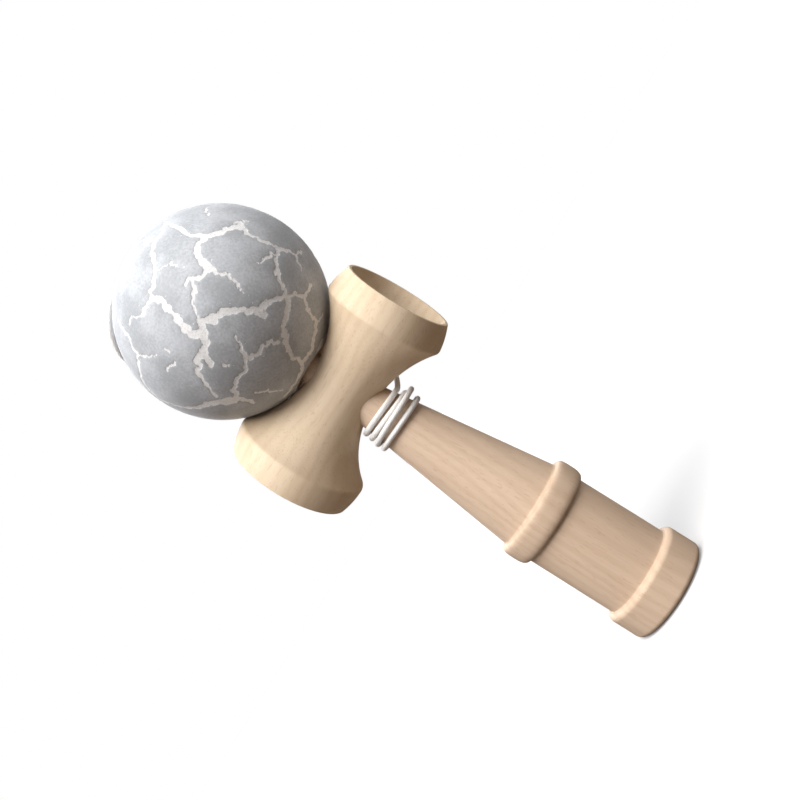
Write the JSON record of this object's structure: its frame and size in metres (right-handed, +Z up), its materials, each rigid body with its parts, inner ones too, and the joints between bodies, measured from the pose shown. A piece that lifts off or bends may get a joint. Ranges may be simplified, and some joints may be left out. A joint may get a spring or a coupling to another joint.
{
  "type": "cup and ball toy",
  "caption": "Wooden cup and ball toy: turned handle with a spike and a base cup, crosspiece with a cup at each end, and a bored ball tied on with a string wound round the neck.",
  "frame": {"origin": "centre of the base rim, on the surface that the toy stands on", "axes": "+Z up along the handle's axis, +X towards the small cup, -X towards the big cup, +Y towards the back, where the string leaves the crosspiece"},
  "size_m": [0.0604, 0.0606, 0.1777],
  "materials": {
    "handle_wood": "smooth bare beech with a thin satin oil",
    "crosspiece_wood": "smooth bare beech with a thin satin oil",
    "ball_paint": "turned wood with satin grey paint that has cracked over a white coat",
    "bead_wood": "bare turned wood",
    "string": "white braided cord with a slight gloss"
  },
  "bodies": {
    "handle": {"handle": "handle_wood", "crosspiece": "crosspiece_wood", "handle_knot": "string", "string_tail": "string", "string_winding": "string", "string_lead": "string"},
    "bead": {"string_bead": "bead_wood", "ball_knot": "string", "string_inner": "string"},
    "ball": {"ball": "ball_paint"}
  },
  "joints": [
    {"name": "ball_lift", "type": "slide", "parent": "handle", "child": "bead", "axis": [0, 0, 1], "range_m": [0, 0.045], "deforming": ["string_lead"]},
    {"name": "ball_spin", "type": "hinge", "parent": "bead", "child": "ball", "pos_m": [0, 0, 0.1458], "axis": [0, 0, 1], "continuous": true}
  ]
}
